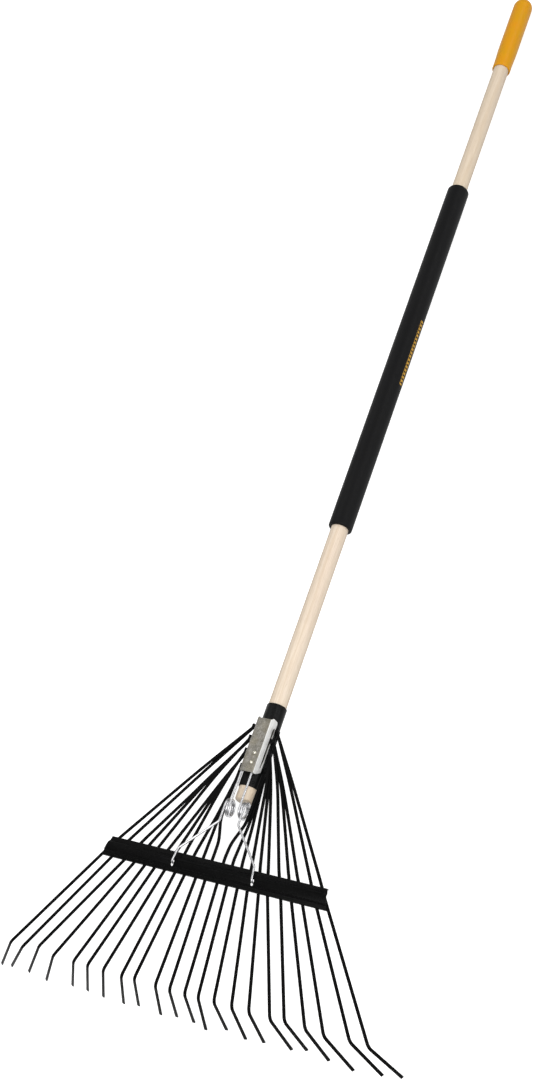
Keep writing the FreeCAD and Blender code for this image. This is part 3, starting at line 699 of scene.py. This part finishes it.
def build_brace_half(name, side, node):
    def at(x, y, z):
        return Vector((side * x, y, z))

    # bight and upper leg
    middle, leg_top = at(0, BIGHT_Y, LEG_Z), at(LEG_X, BIGHT_Y, LEG_Z)
    coil_start = at(LEG_X, COIL_Y, LEG_Z)
    arc = corner(middle, leg_top, coil_start, radius=5.0, steps=10)
    points = [middle] + straight(middle, arc[0]) + arc + straight(arc[-1], coil_start)
    # coil
    for i in range(COIL_STEPS + 1):
        turn = COIL_TURNS * i / COIL_STEPS
        angle = 2 * math.pi * turn
        points.append(at(LEG_X + COIL_PITCH * turn, COIL_Y - COIL_R * math.sin(angle),
                         COIL_Z + COIL_R * math.cos(angle)))
    # lower leg out to the shoulder, then the hook down towards the tines
    plane = plane_z(HOOK_Y)
    coil_end, kink = at(LOW_X, COIL_Y, LEG_Z), at(LOW_X, KINK_Y, LEG_Z)
    shoulder = at(SHOULDER_X, SHOULDER_Y, plane + HOOK_RISE)
    hook = at(HOOK_X, HOOK_Y, plane + HOOK_RISE)
    end = at(HOOK_X, HOOK_Y, plane + HOOK_END_RISE)
    kink_arc = corner(coil_end, kink, shoulder, radius=7.0, steps=10)
    shoulder_arc = corner(kink, shoulder, hook, radius=6.0, steps=10)
    hook_arc = corner(shoulder, hook, end, radius=3.2, steps=12)
    points += straight(coil_end, kink_arc[0], step=3.0) + kink_arc
    points += straight(kink_arc[-1], shoulder_arc[0]) + shoulder_arc
    points += straight(shoulder_arc[-1], hook_arc[0], step=3.0) + hook_arc
    points.append(end)
    ob = skin(name, wire_rings(points), BRIGHT_WIRE)
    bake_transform(ob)
    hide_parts(node, "brace_wire")


# ---------------------------------------------------------------------------
# tines
# ---------------------------------------------------------------------------
def rounded_rect(width, thickness, radius, steps=3):
    points = []
    x, y = width / 2 - radius, thickness / 2 - radius
    for center_x, center_y, start in ((x, y, 0), (-x, y, 90), (-x, -y, 180), (x, -y, 270)):
        for i in range(steps + 1):
            a = math.radians(start + 90.0 * i / steps)
            points.append((center_x + radius * math.cos(a), center_y + radius * math.sin(a)))
    return points


def rounded(knots, y):
    """value at y of a line through (y, value, half length of its rounding), y falling"""
    i = 0
    while i < len(knots) - 2 and y < knots[i + 1][0]:
        i += 1
    (y0, v0, _), (y1, v1, _) = knots[i:i + 2]
    value = v0 + (v1 - v0) * (y0 - y) / (y0 - y1)
    for (y0, v0, _), (y1, v1, reach), (y2, v2, _) in zip(knots, knots[1:], knots[2:]):
        offset = abs(y1 - y)
        if offset < reach:
            before, after = (v1 - v0) / (y0 - y1), (v2 - v1) / (y1 - y2)
            value += (after - before) * (reach - offset) ** 2 / (4 * reach)
    return value


def turned(vector, axis, angle):
    return (vector * math.cos(angle) + axis.cross(vector) * math.sin(angle)
            + axis * (axis.dot(vector) * (1 - math.cos(angle))))


def tine_knots(index):
    """knots of the distance from the middle and of the height, from the root to the bend"""
    rank = min(index, len(TINES) - 1 - index)       # 0 is the outermost tine of its side
    # two tines in the first root group, three in each of the others
    group, place = (0, rank) if rank < 2 else (1 + (rank - 2) // 3, (rank - 2) % 3)
    group_y, root_z, hold_y, hold_z = ROOT_GROUPS[group]
    root_y = group_y + ROOT_LEN
    bar_x, bend_x, bend_y = TINES[index][:3]

    def root_towards(x, y):
        """root knot on the line from (ROOT_X, group_y) to x, y, carried back by ROOT_LEN"""
        return root_y, ROOT_X - ROOT_LEN * (x - ROOT_X) / (group_y - y), 0

    if rank == 10:
        across = [(root_y, ROOT_X, 0), (-14.0, 17.3, 8), (-43.0, 8.3, 7)]
    elif rank == 9:
        across = [root_towards(20.9, -12.0), (-12.0, 20.9, 9)]
    else:
        y, reach = (25.0, 12) if group == 3 else (40.0, 20)
        slope = (BAR_IN_X[rank] - MIDWAY_X[rank]) / (MIDWAY_Y - BAR_IN_Y)
        x = MIDWAY_X[rank] - slope * (y - MIDWAY_Y)
        across = [root_towards(x, y), (y, x, reach)]
    across += [(BAR_IN_Y, BAR_IN_X[rank], 5), (BAR_Y, abs(bar_x), 5), (bend_y, abs(bend_x), 0)]
    height = [(root_y, root_z[place], 0), (hold_y, hold_z[place], 8), (BAR_IN_Y, BAR_IN_Z, 6),
              (BAR_Y, BAR_Z, 5), (bend_y, plane_z(bend_y), 0)]
    return across, height


def tine_stations(index):
    """(point, tangent, normal) along a tine, counted from -X to +X"""
    side = -1 if index < TINES_PER_SIDE else 1
    bar_x, bend_x, bend_y, end_x, end_y = TINES[index]
    across, height = tine_knots(index)
    bend = Vector((bend_x, bend_y, plane_z(bend_y)))
    out = (bend - Vector((bar_x, BAR_Y, BAR_Z))).normalized()
    # ends lie level with the ground, which is tilted in the design frame
    end = Vector((end_x, end_y, -TIP_DROP - SIN / COS * (end_y - TIP_Y)))
    down = (end - bend).normalized()
    bend_angle = math.acos(out.dot(down))
    start = bend - out * (BEND_R * math.tan(bend_angle / 2))

    # from the root to the start of the tip bend
    candidates = sorted([y + reach * q / KNOT_STEPS
                         for y, _, reach in across[1:-1] + height[1:-1]
                         for q in range(-KNOT_STEPS, KNOT_STEPS + 1)], reverse=True)
    kept = [across[0][0]]
    for y in candidates:
        if kept[-1] - y > MIN_STEP and y - start.y > MIN_STEP:
            kept.append(y)
    points = [Vector((side * rounded(across, y), y, rounded(height, y))) for y in kept]
    points.append(start)
    tangents = [tangent(points, i) for i in range(len(points) - 1)] + [out]
    stations = []
    for point, along in zip(points, tangents):
        normal = Vector((0, 0, 1)) - along * along.z
        stations.append((point, along, normal.normalized()))

    # tip bend
    start_normal = stations[-1][2]
    inward = (down - out * out.dot(down)).normalized()
    axis = out.cross(down).normalized()
    for i in range(1, BEND_STEPS + 1):
        a = bend_angle * i / BEND_STEPS
        point = start + (out * math.sin(a) + inward * (1 - math.cos(a))) * BEND_R
        stations.append((point, out * math.cos(a) + inward * math.sin(a),
                         turned(start_normal, axis, a)))
    # straight tip
    for back in (0.35, 0.12, 0.0):
        stations.append((end - down * back, down, stations[-1][2]))
    return stations


def build_tine(index):
    stations = tine_stations(index)
    section = rounded_rect(TINE_W, TINE_T, TINE_EDGE_R)
    # both ends are drawn in, less in width than in thickness
    scales = [0.80] + [1.0] * (len(stations) - 3) + [0.93, 0.80]
    rings = []
    for (point, along, normal), scale in zip(stations, scales):
        wide = along.cross(normal).normalized()
        thick = wide.cross(along).normalized()
        wide_scale = 1 - (1 - scale) * 0.45
        rings.append([point + wide * (a * wide_scale) + thick * (b * scale)
                      for a, b in section])
    ob = skin("spring_tine_%02d" % (index + 1), rings, TINE_ENAMEL)
    register(ob, "tine_%02d" % (index + 1), "head")


# ---------------------------------------------------------------------------
# assembly
# ---------------------------------------------------------------------------
# name, CAD node, material, slot, bevel in mm
HANDLE_FITTINGS = [
    ("socket_tube", "socket", SOCKET_ENAMEL, "black_paint", 0.15),
    ("socket_nail_head", "socket_nail", SOCKET_ENAMEL, "black_paint", 0.05),
    ("bracket_channel", "brace_bracket", ZINC, "galvanised", 0.18),
    ("bracket_rivet_heads", "bracket_rivets", RIVET_PLATE, "rivet_steel", 0.08),
]
HEAD_FITTINGS = [
    ("spreader_channel", "spreader_bar", BAR_ENAMEL, "black_paint", 0.14),
    ("root_yoke", "tine_yoke", BAR_ENAMEL, "black_paint", 0.06),
]


def build_fittings(fittings, part):
    for name, node, material, slot, bevel in fittings:
        register(refine(name, node, material, bevel), node, part)


build_shaft()
build_foam_sleeve()
build_cap()
build_fittings(HANDLE_FITTINGS, "handle")
build_brace_half("brace_wire_left_half", -1, "brace_leg_left")
build_brace_half("brace_wire_right_half", 1, "brace_leg_right")
for tine_index in range(len(TINES)):
    build_tine(tine_index)
build_fittings(HEAD_FITTINGS, "head")


# ---------------------------------------------------------------------------
# floor and world (metres)
# ---------------------------------------------------------------------------
def mix_shader(tree, factor, first, second):
    return add_node(tree, "ShaderNodeMixShader", {0: factor, 1: first, 2: second}).outputs[0]


def floor_material():
    """bright to the camera, a plain glow in reflections, see-through from below"""
    material = bpy.data.materials.new("floor_white")
    tree = empty_tree(material)

    def diffuse(value):
        return add_node(tree, "ShaderNodeBsdfDiffuse",
                        {0: (value, value, value, 1)}).outputs[0]

    def glow(strength):
        return add_node(tree, "ShaderNodeEmission", {0: (1, 1, 1, 1), 1: strength}).outputs[0]

    ray = add_node(tree, "ShaderNodeLightPath").outputs
    geometry = add_node(tree, "ShaderNodeNewGeometry").outputs
    seen = add_node(tree, "ShaderNodeAddShader", {0: diffuse(0.80), 1: glow(0.62)}).outputs[0]
    # for bounced light the floor is a grey card, so round parts keep darker edges
    bounced = mix_shader(tree, ray["Is Glossy Ray"], diffuse(0.42), glow(0.95))
    top = mix_shader(tree, ray["Is Camera Ray"], bounced, seen)
    clear = add_node(tree, "ShaderNodeBsdfTransparent").outputs[0]
    both = mix_shader(tree, geometry["Backfacing"], top, clear)
    add_node(tree, "ShaderNodeOutputMaterial", {0: both})
    return material


def build_floor(half_size=14.0, z=-0.0004):
    bm = bmesh.new()
    bm.faces.new([bm.verts.new((x * half_size, y * half_size, z))
                  for x, y in ((-1, -1), (1, -1), (1, 1), (-1, 1))])
    floor = link_mesh("floor", bm)
    floor.data.materials.append(floor_material())


def build_world():
    """white to the camera, dimmer as a light"""
    world = bpy.data.worlds.new("studio")
    bpy.context.scene.world = world
    tree = empty_tree(world)
    lighting, seen = [add_node(tree, "ShaderNodeBackground",
                               {0: (1, 1, 1, 1), 1: strength}).outputs[0]
                      for strength in (0.42, 1.0)]
    ray = add_node(tree, "ShaderNodeLightPath").outputs
    mixed = mix_shader(tree, ray["Is Camera Ray"], lighting, seen)
    add_node(tree, "ShaderNodeOutputWorld", {0: mixed})


# ---------------------------------------------------------------------------
# lights (metres) and camera
# ---------------------------------------------------------------------------
def area_light(name, location, target, size, power, long_axis=None):
    """area light aimed at target; long_axis, if given, is the direction of its width"""
    light = bpy.data.lights.new(name, "AREA")
    light.shape = "RECTANGLE"
    light.size, light.size_y = size
    light.energy = power
    ob = bpy.data.objects.new(name, light)
    bpy.context.scene.collection.objects.link(ob)
    ob.location = location
    ob.rotation_mode = "QUATERNION"
    if long_axis is None:
        aim = (Vector(target) - Vector(location)).normalized()
        ob.rotation_quaternion = aim.to_track_quat("-Z", "Y")
    else:
        x_axis = Vector(long_axis)
        z_axis = (Vector(location) - Vector(target)).normalized()
        y_axis = z_axis.cross(x_axis).normalized()
        ob.rotation_quaternion = Matrix((x_axis, y_axis, z_axis)).transposed().to_quaternion()
    ob.visible_camera = False


def build_camera():
    data = bpy.data.cameras.new("cam")
    camera = bpy.data.objects.new("cam", data)
    bpy.context.scene.collection.objects.link(camera)
    bpy.context.scene.camera = camera
    data.sensor_fit = "AUTO"
    data.sensor_width = 36.0
    data.lens = 49.63
    data.shift_x = 0.0079444444
    data.shift_y = 0.0069074074
    data.clip_start, data.clip_end = 0.05, 60.0
    # place and axes in the design frame
    right = world_direction(0.89769737, 0.31950786, -0.30340429)
    up = world_direction(-0.12873928, 0.84874721, 0.51288826)
    back = world_direction(0.42138538, -0.42135839, 0.80305135)
    rotation = Matrix((right, up, back)).transposed()
    place = world_point(752.27, -488.14, 1636.33)
    camera.matrix_world = Matrix.Translation(place) @ rotation.to_4x4()


build_floor()
build_world()
area_light("key_soft", location=(0.6, -1.6, 2.6), target=(0, 0, 0), size=(2.2, 2.2), power=46)
area_light("fill_soft", location=(-1.6, 0.8, 2.4), target=(0, 0.1, 0), size=(2.0, 2.4),
           power=20)
area_light("side_right", location=(1.35, -0.05, 0.62), target=(0.0, -0.05, 0.03),
           size=(2.8, 0.5), power=6)
area_light("strip", location=(1.35, 1.3, 1.95), target=(0.0, 1.3, 0.0), size=(4.6, 0.26),
           power=22, long_axis=(0, 1, 0))
build_camera()

bpy.context.scene.view_settings.view_transform = "Standard"
bpy.context.scene.view_settings.look = "None"
